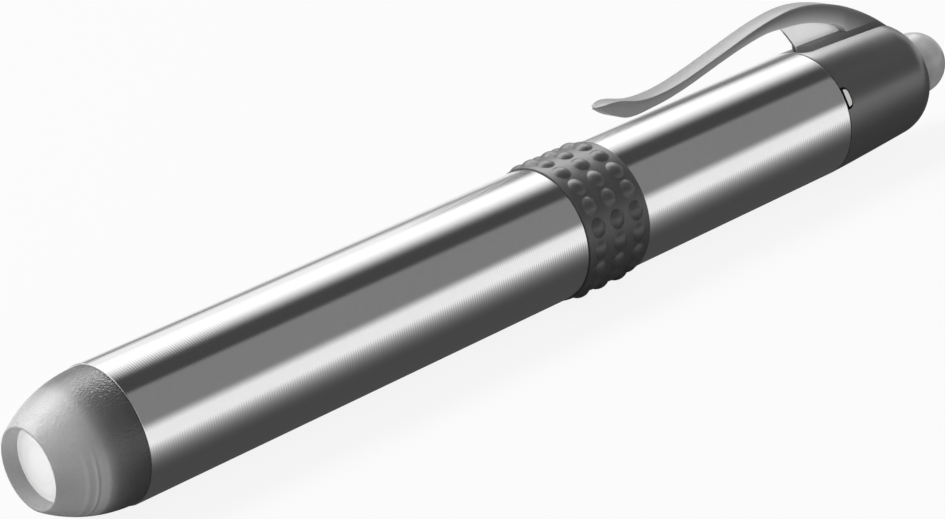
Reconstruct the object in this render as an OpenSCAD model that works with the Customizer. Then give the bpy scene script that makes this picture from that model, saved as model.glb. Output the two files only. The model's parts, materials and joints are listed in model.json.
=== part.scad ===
// Penlight: a turned metal tube for two slim cells, a clear frosted nose, a rubber grip
// and a smoke plastic tail cap with its clip and push button.
// The axis runs along X, the nose points to -X and the clip stands up on +Z.
// X = 0 is where the plain barrel starts behind its front chamfer.

/* [Cells] */
// Radius of one cell
cell_r = 5.25; // [5.1:0.05:5.3]
// Length of one cell, nub included
cell_l = 44.5; // [42:0.5:50]
// Radius of the cell's nub
nub_r = 1.9; // [1.6:0.1:2.1]
// Height of the cell's nub
nub_h = 1.0; // [0.8:0.1:1.2]
// Chamfer round both ends of a cell
cell_edge = 0.5; // [0.3:0.1:0.8]

/* [Barrel] */
// Outer radius of the tube
tube_r = 7.0; // [6.9:0.05:7.4]
// Wall of the tube
tube_wall = 1.0; // [0.9:0.05:1.0]
// Chamfer on both ends of the tube
tube_edge = 0.2; // [0.1:0.05:0.3]
// Wall of the liner that keeps the cells off the metal
liner_wall = 0.4; // [0.3:0.05:0.45]

/* [Grip] */
// Where the grip starts
grip_x = 55.45; // [40:0.5:56]
// Length of the grip
grip_l = 8.75; // [8:0.25:10]
// How far the grip stands proud of the tube
grip_proud = 0.32; // [0.2:0.02:0.4]
// Depth of the groove that the grip lies in
grip_sunk = 0.45; // [0.3:0.05:0.5]
// Rounding of the grip's two edges
grip_edge = 0.15; // [0.1:0.05:0.2]
// Width of one grip nub
bump_w = 1.88; // [1.6:0.04:2.1]
// Height of one grip nub
bump_h = 0.42; // [0.3:0.02:0.5]
// Distance between the rings of nubs
bump_pitch = 2.68; // [2.4:0.02:2.8]
// Nubs round the grip
bump_count = 19; // [14:1:19]
// Turn of the first row of nubs from the top
bump_turn = 61; // [0:1:180]

/* [Nose] */
// Length of the nose in front of the barrel
nose_l = 8.75; // [8.5:0.05:10]
// Outer radius of the rim
rim_r = 4.17; // [4.1:0.01:4.3]
// Width of the flat of the rim
rim_w = 0.22; // [0.15:0.01:0.3]
// Radius of the hollow behind the lens
hollow_r = 4.9; // [4.85:0.05:5]
// Radius of the window
window_r = 3.72; // [3.5:0.02:3.8]
// Depth of the lens behind the rim
lens_sunk = 1.5; // [1.3:0.05:1.7]
// Length of the plug that fits in the tube
plug_l = 8.0; // [7.8:0.1:9]
// Where the groove for the seal starts
seal_x = 1.4; // [1:0.1:2]
// Width of the groove for the seal
seal_w = 0.75; // [0.7:0.05:0.9]
// Depth of the groove for the seal
seal_depth = 0.5; // [0.4:0.05:0.55]

/* [Lamp] */
// Thickness of the lens at its edge
lens_t = 1.6; // [1.2:0.1:1.8]
// Width of the lens edge behind the window
lens_lap = 0.48; // [0.4:0.02:0.5]
// Height of the dome on the lens
lens_dome = 0.35; // [0.2:0.05:0.5]
// Distance between the lens and the tip of the lamp
lamp_gap = 0.45; // [0.4:0.05:0.8]
// Radius of the lamp
lamp_r = 2.5; // [2.3:0.05:2.5]
// Length of the lamp
lamp_l = 8.6; // [8:0.1:8.8]
// Radius of the lamp's flange
lamp_flange_r = 2.9; // [2.8:0.05:2.95]
// Thickness of the lamp's flange
lamp_flange_t = 1.0; // [0.8:0.1:1.2]
// Height of the lamp above its board
lamp_lift = 0.6; // [0.56:0.02:0.8]
// Distance between the lamp's two legs
leg_pitch = 2.54; // [2:0.02:2.54]
// Radius of a leg
leg_r = 0.25; // [0.2:0.01:0.28]
// Radius of the reflector's mouth
mouth_r = 4.0; // [3.8:0.05:4.1]
// Wall of the reflector
reflector_wall = 0.5; // [0.4:0.05:0.6]
// Thickness of the reflector's rim
reflector_rim = 0.6; // [0.4:0.05:0.8]
// Length of the collar that holds the lamp
collar_l = 0.8; // [0.6:0.1:1.2]
// Thickness of the board
board_t = 1.0; // [0.8:0.1:1.2]
// Radius of the contact that the front cell touches
contact_r = 2.0; // [1.8:0.05:2.1]
// Height of that contact
contact_h = 0.8; // [0.7:0.05:1]
// Length of the chip resistor
chip_l = 2.0; // [1.6:0.1:2.2]
// Width of the chip resistor
chip_w = 1.25; // [0.8:0.05:1.3]
// Height of the chip resistor
chip_h = 0.5; // [0.3:0.05:0.54]
// Thickness of the ground clip beside the board
clip_metal = 0.2; // [0.15:0.01:0.2]
// Width of the ground clip
ground_w = 1.8; // [1.4:0.1:2]
// Thickness of the ring that holds the board
holder_t = 1.35; // [1.2:0.05:1.4]
// Inner radius of the ring that holds the board
holder_r = 2.6; // [2.4:0.05:2.8]

/* [Tail cap] */
// Length of the cap behind the tube
cap_l = 15.7; // [15.5:0.1:17]
// How much slimmer the cap is at its rear
cap_taper = 0.76; // [0.6:0.02:0.8]
// Bend of the taper, 1 is straight
cap_bend = 1.18; // [1:0.02:1.4]
// Length of the rounded rear end
cap_round_l = 3.5; // [3:0.1:3.6]
// How far the rear end is rounded in
cap_round_r = 3.15; // [3:0.05:3.2]
// Length of the cap's spigot in the tube
spigot_l = 8.0; // [6:0.5:12]
// Seam between the tube and the cap
seam = 0.1; // [0.05:0.01:0.15]
// Width of the notch in the cap's front edge
notch_w = 2.7; // [2.5:0.1:3]
// Length of the notch
notch_l = 1.0; // [0.9:0.05:1.3]
// Turn of the notch from the top
notch_turn = 68.4; // [60:0.2:90]

/* [Clip] */
// Length of the clip from its tip to its root
clip_l = 44.3; // [42:0.1:48]
// Distance of the clip's root from the cap's rear end
clip_root = 1.2; // [1:0.1:1.6]
// Height of the clip's arch above the tube
clip_rise = 5.25; // [4.6:0.05:6]
// Width of the clip
clip_w = 2.4; // [1.8:0.05:3]
// Length over which the clip's tip is rounded
clip_tip_l = 2.3; // [1.5:0.1:3]
// Thickness of the web under the arch
web_t = 0.4; // [0.3:0.02:1]
// Height of the rail at the cap's front edge
rail_front_h = 0.65; // [0.5:0.05:0.8]
// Height of the rail behind its front slope
rail_top_h = 1.12; // [0.9:0.02:1.4]
// Length of the rail's front slope
rail_slope_l = 1.0; // [0.6:0.1:1.5]
// Length over which the rail's front end is rounded
rail_round_l = 1.2; // [0.8:0.1:1.6]
// Height of the rail at its rear end
rail_rear_h = 0.8; // [0.5:0.05:0.9]

/* [Switch] */
// Length of the room for the battery spring
spring_room = 4.1; // [3.9:0.1:5]
// Radius of the battery spring at the cell
spring_small_r = 2.4; // [2:0.1:2.8]
// Radius of the battery spring at its plate
spring_large_r = 3.7; // [3.3:0.1:3.75]
// Turns of the battery spring
spring_turns = 3; // [2:0.5:3]
// Radius of the battery spring's wire
spring_wire = 0.3; // [0.25:0.01:0.32]
// Thickness of the sheet metal pieces
metal_t = 0.3; // [0.25:0.01:0.3]
// Radius of the plate that the battery spring stands on
plate_r = 4.1; // [4:0.05:4.15]
// Radius of the rivet in that plate
rivet_r = 0.9; // [0.7:0.05:1]
// Radius of the rivet's head
rivet_head_r = 1.4; // [1.2:0.05:1.6]
// Length of the ring that locks the switch in
lock_l = 1.1; // [0.8:0.1:1.3]
// Wall of the ring that locks the switch in
lock_wall = 0.95; // [0.8:0.05:1]
// Length of the switch housing
housing_l = 5.8; // [5.7:0.05:6]
// Front and rear walls of the switch housing
housing_end = 0.95; // [0.9:0.05:1]
// Side wall of the switch housing
housing_wall = 1.05; // [0.9:0.05:1.1]
// Radius of the contact bridge
bridge_r = 3.3; // [3:0.1:3.6]
// Width of the ground strip
strip_w = 1.9; // [1.6:0.05:2]
// Length of the strip's bent end in the notch
tab_l = 0.65; // [0.5:0.05:0.65]
// How far the strip's leaf reaches into the housing
leaf_reach = 2.1; // [1.8:0.05:2.1]

/* [Button] */
// Radius of the push button
button_r = 3.5; // [3.2:0.05:3.5]
// How far the button's straight part stands out
button_out = 2.6; // [2.2:0.05:3]
// Travel of the button
button_travel = 1.8; // [1.6:0.05:1.8]
// Radius of the button's flange
button_flange_r = 4.5; // [4.3:0.05:4.6]
// Thickness of the button's flange
button_flange_t = 1.1; // [0.9:0.05:1.1]
// Inner radius of the hollow button
button_bore_r = 2.3; // [2.25:0.05:2.4]
// Roof of the hollow behind the start of the dome
button_roof = 0.5; // [0.4:0.1:1]
// Radius of the plunger's stem
stem_r = 1.3; // [1.1:0.05:1.35]
// Radius of the plunger's collar
stem_collar_r = 2.2; // [2:0.1:2.6]
// Thickness of the plunger's collar
stem_collar_t = 0.8; // [0.6:0.05:0.9]
// Radius of the plunger's pin in the bridge
stem_pin_r = 0.6; // [0.4:0.05:0.7]
// Length of the socket that grips the stem
socket_l = 1.0; // [0.8:0.1:1.4]
// Thickness of the cap's rear wall round the button
cap_end_wall = 2.2; // [2:0.1:2.4]
// Turns of the button spring
return_turns = 7; // [5:1:8]
// Radius of the button spring's wire
return_wire = 0.18; // [0.14:0.01:0.2]

/* [Fits] */
// Radial gap of a pushed-in piece
fit = 0.05; // [0.03:0.01:0.07]
// Gap between end faces that meet across a joint
face_gap = 0.05; // [0.02:0.01:0.08]
// Gap at the ends of the liner and behind the cells
end_gap = 0.2; // [0.1:0.05:0.3]
// Radial room round a cell
cell_room = 0.15; // [0.1:0.01:0.2]
// Radial room of the button in its hole
button_room = 0.1; // [0.06:0.01:0.12]
// Side room of a strip or leg in its slot
slot_room = 0.2; // [0.1:0.02:0.25]

/* [Hidden] */
$fn = 96;

// Overrun of every cut past the surface that it opens
over = 0.5;

// Radii that follow from the barrel and the cells
bore_r = tube_r - tube_wall;
plug_r = bore_r - fit;
room_r = cell_r + cell_room;
guest_r = room_r - fit;
liner_or = plug_r - fit;

// Places from the rim back to the front cell
rim_x = -nose_l;
lens_r = window_r + lens_lap;
lens_x = rim_x + lens_sunk;
lens_back = lens_x + lens_t;
step_x = lens_back + end_gap + face_gap;
lamp_tip = lens_back + lamp_gap;
lamp_base = lamp_tip + lamp_l;
flange_x = lamp_base - lamp_flange_t;
cup_end = flange_x - collar_l;
board_x = lamp_base + lamp_lift;
board_back = board_x + board_t;
contact_back = board_back + contact_h;

// Places from the front cell back to the cap
front_cell_x = contact_back + face_gap;
rear_cell_x = front_cell_x + cell_l + face_gap;
cells_end = rear_cell_x + cell_l;
tube_end = cells_end + 2 * face_gap;
cap_x = tube_end + seam;
cap_end = cap_x + cap_l;
spigot_x = cap_x - spigot_l;
grip_r = tube_r + grip_proud;
groove_r = tube_r - grip_sunk;

// Places in the switch, from the spring's plate back to the button
plate_x = cells_end + spring_room;
housing_x = plate_x + metal_t;
housing_back = housing_x + housing_l;
cavity_r = guest_r - housing_wall;
cavity_x = housing_x + housing_end;
cavity_back = housing_back - housing_end;
contact_top = cavity_x + metal_t;
bridge_x = contact_top + button_travel + face_gap;
collar_x = bridge_x + metal_t;
flange_back = cap_end - cap_end_wall - face_gap;
flange_front = flange_back - button_flange_t;
chamber_r = button_flange_r + slot_room;
dome_x = cap_end + button_out;
hollow_end = dome_x - button_roof;
socket_end = hollow_end + socket_l;
strip_or = guest_r - face_gap / 2;
strip_ir = strip_or - metal_t;

// A solid turned about the X axis from points given as place and radius
module turned(points) {
    rotate([0, 90, 0])
        rotate_extrude()
            polygon([for (p = points) [p[1], p[0]]]);
}

// A round bar along X
module bar(from, to, r) {
    translate([from, 0, 0])
        rotate([0, 90, 0])
            cylinder(h = to - from, r = r);
}

// A round tube along X
module pipe(from, to, outer, inner) {
    difference() {
        bar(from, to, outer);
        bar(from - over, to + over, inner);
    }
}

// A smooth line through points, with a few steps between each two
function knot(p, i) = p[max(0, min(len(p) - 1, i))];
function blend(a, b, c, d, t) =
    0.5 * (2 * b + (c - a) * t + (2 * a - 5 * b + 4 * c - d) * t * t
        + (3 * b - a - 3 * c + d) * t * t * t);
function smooth(p, steps) = concat(
    [for (i = [0 : len(p) - 2], k = [0 : steps - 1])
        blend(knot(p, i - 1), knot(p, i), knot(p, i + 1), knot(p, i + 2), k / steps)],
    [p[len(p) - 1]]);

// Rings of points round a coil along X that may narrow from its rear to its front
wire_sides = 6;
turn_rings = 8;
function coil_point(from, to, r1, r2, turns, t) =
    [from + (to - from) * t, (r1 + (r2 - r1) * t) * sin(360 * turns * t),
        (r1 + (r2 - r1) * t) * cos(360 * turns * t)];
function coil_path(from, to, r1, r2, turns) =
    [for (i = [0 : turns * turn_rings])
        coil_point(from, to, r1, r2, turns, i / (turns * turn_rings))];
function unit(v) = v / norm(v);
function coil_ring(path, i, wire) =
    let (ahead = path[min(i + 1, len(path) - 1)], behind = path[max(i - 1, 0)],
        along = unit(ahead - behind), out = unit([0, path[i][1], path[i][2]]),
        side = unit(cross(along, out)), up = cross(side, along))
    [for (k = [0 : wire_sides - 1])
        path[i] + wire * (cos(360 * k / wire_sides) * side + sin(360 * k / wire_sides) * up)];

// The least gap between one turn of a coil and the next
function coil_gap(path, wire) =
    min([for (i = [0 : len(path) - 1], j = [i + turn_rings / 2 : len(path) - 1])
        norm(path[i] - path[j])]) - 2 * wire;

// A coil of wire as one unbroken tube
module coil(path, wire) {
    rings = [for (i = [0 : len(path) - 1]) coil_ring(path, i, wire)];
    last = (len(path) - 1) * wire_sides;
    sides = [for (i = [0 : len(path) - 2], k = [0 : wire_sides - 1])
        let (a = i * wire_sides + k, b = i * wire_sides + (k + 1) % wire_sides)
        each [[a, b, b + wire_sides], [a, b + wire_sides, a + wire_sides]]];
    ends = [for (k = [1 : wire_sides - 2])
        each [[0, k + 1, k], [last, last + k, last + k + 1]]];
    polyhedron([for (r = rings) each r], concat(sides, ends));
}

// An outline with a straight front edge and a rounded rear, drawn flat
module round_backed(from, length, width) {
    steps = 24;
    translate([from, 0])
        polygon([for (i = [0 : steps])
            let (a = -90 + 180 * i / steps, side = sign(sin(a)))
            [length * pow(abs(cos(a)), 2 / 3), side * width / 2 * pow(abs(sin(a)), 2 / 3)]]);
}

// Outer line of the nose, an arc that leaves the tube without a kink
nose_run = nose_l - tube_edge;
nose_drop = tube_r - rim_r;
nose_arc = (nose_run * nose_run + nose_drop * nose_drop) / (2 * nose_drop);
nose_turn = asin(nose_run / nose_arc);
nose_steps = 16;
nose_line = [for (i = [0 : nose_steps])
    let (a = nose_turn * i / nose_steps)
    [-tube_edge - nose_arc * sin(a), tube_r - nose_arc * (1 - cos(a))]];

// Slot in the nose's plug for the ground clip
module ground_slot() {
    translate([board_back - slot_room / 2, hollow_r, -ground_w / 2 - slot_room])
        cube([plug_l, tube_r - hollow_r, ground_w + 2 * slot_room]);
}

module nose_cap() {
    seal_floor = plug_r - seal_depth;
    color([0.9, 0.91, 0.92, 0.6])
        difference() {
            turned(concat(nose_line,
                [[rim_x, 0], [plug_l, 0], [plug_l, plug_r], [seal_x + seal_w, plug_r],
                    [seal_x + seal_w, seal_floor], [seal_x, seal_floor], [seal_x, plug_r],
                    [-tube_edge, plug_r]]));
            turned([[rim_x, 0], [rim_x, rim_r - rim_w], [lens_x, window_r],
                [lens_x, lens_r + fit], [step_x, lens_r + fit], [step_x, hollow_r],
                [board_x, hollow_r], [board_x, room_r], [plug_l, room_r], [plug_l, 0]]);
            ground_slot();
        }
}

module nose_seal() {
    cord = seal_depth / 2;
    color([0.12, 0.12, 0.12])
        translate([seal_x + seal_w / 2, 0, 0])
            rotate([0, 90, 0])
                rotate_extrude()
                    translate([plug_r - seal_depth + fit / 2 + cord, 0])
                        circle(r = cord, $fn = 24);
}

module lens() {
    dome_r = window_r - 2 * fit;
    ball_r = (dome_r * dome_r + lens_dome * lens_dome) / (2 * lens_dome);
    steps = 8;
    color([0.95, 0.97, 1, 0.5])
        turned(concat(
            [[lens_back, 0], [lens_back, lens_r], [lens_x, lens_r]],
            [for (i = [0 : steps])
                let (r = dome_r * (1 - i / steps))
                [lens_x - lens_dome + ball_r - sqrt(ball_r * ball_r - r * r), r]]));
}

module reflector() {
    throat_r = lamp_r + fit;
    cup_l = cup_end - step_x;
    collar_r = lamp_flange_r + 2 * slot_room;
    steps = 12;
    inside = [for (i = [0 : steps])
        let (u = 1 - i / steps)
        [step_x + cup_l * (1 - u * u), throat_r + (mouth_r - throat_r) * u]];
    outside = [for (i = [steps : -1 : 0])
        let (u = 1 - i / steps)
        [step_x + cup_l * (1 - u * u), throat_r + (mouth_r - throat_r) * u + reflector_wall]];
    color([0.85, 0.86, 0.88]) {
        turned(concat(inside, outside));
        pipe(step_x, step_x + reflector_rim, hollow_r - fit, mouth_r);
        pipe(cup_end - reflector_wall, flange_x, collar_r, throat_r);
    }
}

module led_lamp() {
    color([0.97, 0.97, 0.9, 0.7]) {
        translate([lamp_tip + lamp_r, 0, 0])
            sphere(r = lamp_r);
        bar(lamp_tip + lamp_r, lamp_base, lamp_r);
        bar(flange_x, lamp_base, lamp_flange_r);
    }
}

module led_legs() {
    color([0.8, 0.8, 0.8])
        for (side = [-1, 1])
            translate([0, side * leg_pitch / 2, 0])
                bar(lamp_base, board_back - slot_room / 2, leg_r);
}

module led_board() {
    color([0.1, 0.35, 0.2])
        difference() {
            bar(board_x, board_back, guest_r);
            for (side = [-1, 1])
                translate([0, side * leg_pitch / 2, 0])
                    bar(board_x - over, board_back + over, leg_r + slot_room / 2);
        }
}

module board_resistor() {
    color([0.15, 0.15, 0.16])
        translate([board_x - chip_h, -chip_l / 2, lamp_flange_r + 2 * slot_room])
            cube([chip_h, chip_l, chip_w]);
}

module positive_contact() {
    color([0.85, 0.7, 0.35])
        bar(board_back, contact_back, contact_r);
}

module ground_clip() {
    clip_or = plug_r - slot_room / 2;
    color([0.8, 0.65, 0.3]) {
        translate([board_back, holder_r + 2 * slot_room, -ground_w / 2])
            cube([clip_metal, clip_or - holder_r - 2 * slot_room, ground_w]);
        translate([board_back, clip_or - clip_metal, -ground_w / 2])
            cube([plug_l - board_back, clip_metal, ground_w]);
    }
}

module board_holder() {
    holder_x = board_back + clip_metal + face_gap;
    color([0.2, 0.2, 0.22])
        pipe(holder_x, holder_x + holder_t, guest_r, holder_r);
}

module body_tube() {
    color([0.78, 0.78, 0.8])
        turned([[-tube_edge, bore_r], [-tube_edge, tube_r - tube_edge], [0, tube_r],
            [grip_x, tube_r], [grip_x, groove_r], [grip_x + grip_l, groove_r],
            [grip_x + grip_l, tube_r], [tube_end - tube_edge, tube_r],
            [tube_end, tube_r - tube_edge], [tube_end, bore_r]]);
}

module grip_ring() {
    ball_r = (bump_w * bump_w / 4 + bump_h * bump_h) / (2 * bump_h);
    middle = grip_x + grip_l / 2;
    from = grip_x + face_gap / 2;
    to = grip_x + grip_l - face_gap / 2;
    color([0.28, 0.28, 0.29])
        difference() {
            union() {
                turned([[from, 0], [from, grip_r - grip_edge], [from + grip_edge, grip_r],
                    [to - grip_edge, grip_r], [to, grip_r - grip_edge], [to, 0]]);
                for (ring = [-1 : 1], k = [0 : bump_count - 1])
                    rotate([bump_turn + 360 * k / bump_count, 0, 0])
                        translate([middle + ring * bump_pitch, 0, grip_r + bump_h - ball_r])
                            sphere(r = ball_r, $fn = 32);
            }
            bar(grip_x - over, grip_x + grip_l + over, groove_r + fit / 2);
        }
}

module cell_liner() {
    color([0.93, 0.93, 0.9])
        pipe(plug_l + end_gap, spigot_x - end_gap, liner_or, liner_or - liner_wall);
}

// One cell with its nub to the front
module cell(from) {
    shoulder = from + nub_h;
    to = from + cell_l;
    turned([[from, 0], [from, nub_r], [shoulder, nub_r], [shoulder, cell_r - cell_edge],
        [shoulder + cell_edge, cell_r], [to - cell_edge, cell_r], [to, cell_r - cell_edge],
        [to, 0]]);
}

module front_cell() {
    color([0.25, 0.35, 0.55])
        cell(front_cell_x);
}

module rear_cell() {
    color([0.25, 0.35, 0.55])
        cell(rear_cell_x);
}

// Outer line of the cap, a slow taper and then a round end
function cap_line_r(x) = tube_r - cap_taper * pow((x - cap_x) / cap_l, cap_bend);
cap_steps = 8;
cap_line = concat(
    [for (i = [0 : cap_steps - 1])
        let (x = cap_x + (cap_l - cap_round_l) * i / cap_steps)
        [x, cap_line_r(x)]],
    [for (i = [0 : cap_steps])
        let (a = 90 * i / cap_steps, x = cap_end - cap_round_l * (1 - sin(a)))
        [x, cap_line_r(x) - cap_round_r * (1 - cos(a))]]);

// The clip's upper and lower lines as shares of its length and of its rise, from the tip
clip_top_shares = [[0, 0.66], [0.03, 0.68], [0.06, 0.65], [0.09, 0.57], [0.12, 0.5],
    [0.16, 0.46], [0.21, 0.46], [0.27, 0.51], [0.34, 0.61], [0.42, 0.74], [0.5, 0.87],
    [0.57, 0.96], [0.64, 1], [0.7, 0.96], [0.76, 0.84], [0.82, 0.66], [0.88, 0.4],
    [0.94, 0.07], [1, -0.34]];
clip_under_shares = [[0, 0.63], [0.02, 0.51], [0.04, 0.4], [0.06, 0.31], [0.08, 0.26],
    [0.11, 0.24], [0.15, 0.25], [0.21, 0.28], [0.28, 0.36], [0.35, 0.47], [0.42, 0.58],
    [0.49, 0.67], [0.56, 0.72], [0.62, 0.68], [0.67, 0.63], [0.71, 0.56], [0.75, 0.46],
    [0.79, 0.33], [0.82, 0.19], [0.86, -0.12], [1, -0.4]];
web_front_shares = [[0.62, 0.75], [0.65, 0.42], [0.67, 0.16]];
// Upper and lower corners of the web behind its front edge, inside the blade and the rail
web_back_shares = [[0.69, 0.75], [0.76, 0.6], [0.83, 0.4], [0.86, 0]];
rail_end_share = 0.88;
clip_end = cap_end - clip_root;
clip_tip = clip_end - clip_l;
rail_x = cap_x + face_gap;
function clip_place(share) = [clip_tip + clip_l * share[0], tube_r + clip_rise * share[1]];
function clip_line(shares, steps) = smooth([for (s = shares) clip_place(s)], steps);
function back_to_front(p) = [for (i = [len(p) - 1 : -1 : 0]) p[i]];

// A slab of the given thickness, upright on the middle plane
module upright(thickness) {
    translate([0, thickness / 2, 0])
        rotate([90, 0, 0])
            linear_extrude(thickness)
                children();
}

// The room under a strip as wide as the clip, whose front end is rounded seen from above
module round_fronted(from, to, round_l) {
    steps = 12;
    linear_extrude(tube_r + 2 * clip_rise)
        polygon(concat(
            [for (i = [0 : steps])
                let (a = 90 - 180 * i / steps)
                [from + round_l * (1 - cos(a)), clip_w / 2 * sin(a)]],
            [[to, -clip_w / 2], [to, clip_w / 2]]));
}

module clip_blade() {
    intersection() {
        upright(clip_w + over)
            polygon(concat(clip_line(clip_top_shares, 3),
                back_to_front(clip_line(clip_under_shares, 3))));
        round_fronted(clip_tip, clip_end + over, clip_tip_l);
    }
}

module clip_web() {
    upright(web_t)
        polygon(concat(clip_line(web_front_shares, 3),
            [[rail_x + web_t, tube_r + rail_front_h / 2]],
            back_to_front([for (s = web_back_shares) clip_place(s)])));
}

module clip_rail() {
    rail_end = clip_place([rail_end_share, 0])[0];
    floor_r = (room_r + cap_line_r(rail_end)) / 2;
    intersection() {
        upright(clip_w + over)
            polygon([[rail_x - over, floor_r], [rail_x - over, tube_r + rail_front_h],
                [rail_x, tube_r + rail_front_h], [rail_x + rail_slope_l, tube_r + rail_top_h],
                [rail_end, cap_line_r(rail_end) + rail_rear_h], [rail_end, floor_r]]);
        round_fronted(rail_x, rail_end + over, rail_round_l);
    }
}

module tail_cap() {
    color([0.3, 0.3, 0.31, 0.9])
        difference() {
            union() {
                turned(concat([[spigot_x, 0], [spigot_x, plug_r], [cap_x, plug_r]], cap_line,
                    [[cap_end, 0]]));
                clip_blade();
                clip_web();
                clip_rail();
            }
            bar(spigot_x - over, housing_back, room_r);
            bar(housing_back - over, cap_end - cap_end_wall, chamber_r);
            bar(cap_end - cap_end_wall - over, cap_end + over, button_r + button_room);
            rotate([notch_turn, 0, 0])
                translate([0, 0, strip_ir])
                    linear_extrude(tube_r)
                        round_backed(cap_x - seam / 2, notch_l + seam / 2, notch_w);
        }
}

module ground_strip() {
    tab_x = cap_x + slot_room;
    color([0.85, 0.84, 0.8])
        rotate([notch_turn, 0, 0]) {
            translate([0, 0, strip_ir])
                linear_extrude(tube_r - face_gap - strip_ir)
                    round_backed(tab_x, tab_l, strip_w);
            translate([tab_x, -strip_w / 2, strip_ir])
                cube([contact_top - tab_x, strip_w, metal_t]);
            translate([cavity_x, -strip_w / 2, cavity_r - leaf_reach])
                cube([metal_t, strip_w, strip_or - cavity_r + leaf_reach]);
        }
}

// Room for the strip where it passes the lock ring and the housing
module strip_slot(from, to, depth_r) {
    rotate([notch_turn, 0, 0])
        translate([from, -strip_w / 2 - slot_room, depth_r])
            cube([to - from, strip_w + 2 * slot_room, tube_r - depth_r]);
}

battery_path = coil_path(cells_end + face_gap + spring_wire, plate_x - spring_wire,
    spring_small_r, spring_large_r, spring_turns);
return_path = coil_path(housing_back + return_wire, hollow_end - return_wire,
    (stem_r + button_bore_r) / 2, (stem_r + button_bore_r) / 2, return_turns);
echo(battery_spring_gap = coil_gap(battery_path, spring_wire));
echo(button_spring_gap = coil_gap(return_path, return_wire));

module battery_spring() {
    color([0.82, 0.82, 0.84])
        coil(battery_path, spring_wire);
}

module spring_plate() {
    color([0.85, 0.7, 0.35]) {
        bar(plate_x, housing_x, plate_r);
        bar(housing_x - metal_t / 2, contact_top, rivet_r);
        bar(cavity_x, contact_top, rivet_head_r);
    }
}

module lock_ring() {
    color([0.2, 0.2, 0.22])
        difference() {
            pipe(housing_x - lock_l, housing_x, guest_r, guest_r - lock_wall);
            strip_slot(housing_x - lock_l - over, housing_x + over, strip_ir - fit);
        }
}

module switch_housing() {
    color([0.9, 0.9, 0.88])
        difference() {
            bar(housing_x, housing_back, guest_r);
            bar(cavity_x, cavity_back, cavity_r);
            bar(housing_x - over, cavity_x + over, rivet_r + fit);
            bar(cavity_back - over, housing_back + over, stem_r + fit);
            strip_slot(housing_x - over, contact_top + slot_room, strip_ir - fit);
            strip_slot(cavity_x - face_gap, contact_top + slot_room, cavity_r - over);
        }
}

module contact_bridge() {
    color([0.85, 0.7, 0.35])
        pipe(bridge_x, collar_x, bridge_r, stem_pin_r + fit);
}

module switch_plunger() {
    color([0.92, 0.92, 0.9]) {
        bar(bridge_x, collar_x + metal_t, stem_pin_r);
        bar(collar_x, collar_x + stem_collar_t, stem_collar_r);
        bar(collar_x, socket_end - face_gap, stem_r);
    }
}

module button_spring() {
    color([0.82, 0.82, 0.84])
        coil(return_path, return_wire);
}

module tail_button() {
    color([0.62, 0.62, 0.63, 0.8])
        difference() {
            union() {
                bar(flange_front, flange_back, button_flange_r);
                bar(flange_front, dome_x, button_r);
                translate([dome_x, 0, 0])
                    sphere(r = button_r);
            }
            bar(flange_front - over, hollow_end, button_bore_r);
            bar(hollow_end - over, socket_end, stem_r + fit / 2);
        }
}

nose_cap();
nose_seal();
lens();
reflector();
led_lamp();
led_legs();
led_board();
board_resistor();
positive_contact();
ground_clip();
board_holder();
body_tube();
grip_ring();
cell_liner();
front_cell();
rear_cell();
tail_cap();
ground_strip();
battery_spring();
spring_plate();
lock_ring();
switch_housing();
contact_bridge();
switch_plunger();
button_spring();
tail_button();
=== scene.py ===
"""Penlight: the pieces that show, their finishes and the stage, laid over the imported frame."""
import json
import math

import bpy
from bpy.props import (FloatProperty, FloatVectorProperty, IntProperty,
                       PointerProperty)
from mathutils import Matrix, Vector

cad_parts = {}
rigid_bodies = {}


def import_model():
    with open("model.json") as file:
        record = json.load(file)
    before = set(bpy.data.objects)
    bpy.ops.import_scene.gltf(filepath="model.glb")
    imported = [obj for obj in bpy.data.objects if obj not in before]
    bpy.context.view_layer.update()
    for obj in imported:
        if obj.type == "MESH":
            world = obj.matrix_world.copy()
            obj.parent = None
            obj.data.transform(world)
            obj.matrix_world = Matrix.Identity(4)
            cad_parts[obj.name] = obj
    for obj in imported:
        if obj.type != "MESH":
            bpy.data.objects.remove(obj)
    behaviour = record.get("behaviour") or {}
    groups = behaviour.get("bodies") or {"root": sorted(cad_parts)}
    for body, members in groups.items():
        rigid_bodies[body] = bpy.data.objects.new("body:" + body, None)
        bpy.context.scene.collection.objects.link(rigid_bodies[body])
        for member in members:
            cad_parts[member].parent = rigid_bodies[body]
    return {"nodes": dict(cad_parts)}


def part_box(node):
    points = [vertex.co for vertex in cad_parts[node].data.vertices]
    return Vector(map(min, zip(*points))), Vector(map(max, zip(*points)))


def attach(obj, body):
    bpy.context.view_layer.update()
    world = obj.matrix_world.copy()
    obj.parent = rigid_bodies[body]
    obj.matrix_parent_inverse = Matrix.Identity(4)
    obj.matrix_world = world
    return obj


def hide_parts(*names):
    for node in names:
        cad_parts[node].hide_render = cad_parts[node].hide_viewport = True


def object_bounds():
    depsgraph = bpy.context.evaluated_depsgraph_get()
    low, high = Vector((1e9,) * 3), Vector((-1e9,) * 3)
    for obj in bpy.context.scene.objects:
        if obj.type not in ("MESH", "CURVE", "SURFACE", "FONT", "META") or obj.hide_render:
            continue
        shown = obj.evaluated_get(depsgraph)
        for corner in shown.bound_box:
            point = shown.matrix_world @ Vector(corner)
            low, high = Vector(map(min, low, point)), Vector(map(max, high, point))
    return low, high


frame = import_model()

bl_info = {
    "name": "Penlight pieces",
    "version": (1, 0, 0),
    "blender": (4, 5, 0),
    "location": "View3D > Sidebar > Penlight",
    "description": "Models and finishes the pieces of a slim penlight",
    "category": "Object",
}

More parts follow.
